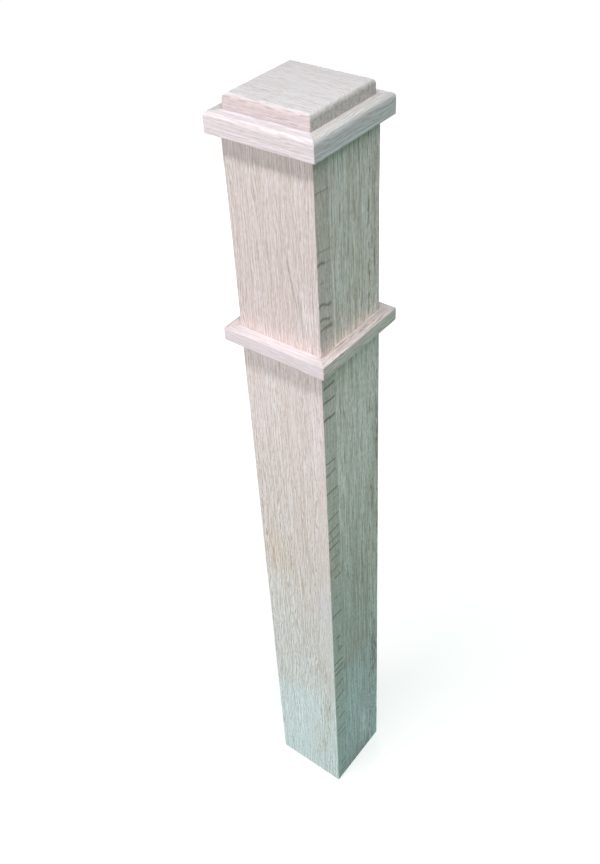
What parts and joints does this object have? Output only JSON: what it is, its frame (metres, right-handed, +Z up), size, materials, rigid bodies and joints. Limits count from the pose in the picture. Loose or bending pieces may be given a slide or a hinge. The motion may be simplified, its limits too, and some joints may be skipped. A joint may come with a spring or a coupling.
{
  "type": "box newel post with cap",
  "caption": "Square hollow box newel post in plain unfinished oak, with a mitred trim band and a stepped, rounded cap, for ending a stair handrail or guard.",
  "frame": {"origin": "centre of the shaft's foot, on the floor", "axes": "+Z up along the post, -Y out of the front face, +X out of the right face"},
  "size_m": [0.1504, 0.1504, 1.2172],
  "materials": {
    "shaft_oak": "bare planed oak",
    "trim_oak": "bare planed oak",
    "cap_rail_oak": "bare sanded oak",
    "cap_block_oak": "bare sanded oak"
  },
  "bodies": {
    "root": {"front_board": "shaft_oak", "back_board": "shaft_oak", "left_board": "shaft_oak", "right_board": "shaft_oak", "trim_front": "trim_oak", "cap_rail_front": "cap_rail_oak", "trim_right": "trim_oak", "cap_rail_right": "cap_rail_oak", "trim_back": "trim_oak", "cap_rail_back": "cap_rail_oak", "trim_left": "trim_oak", "cap_rail_left": "cap_rail_oak", "cap_block": "cap_block_oak"}
  },
  "joints": []
}
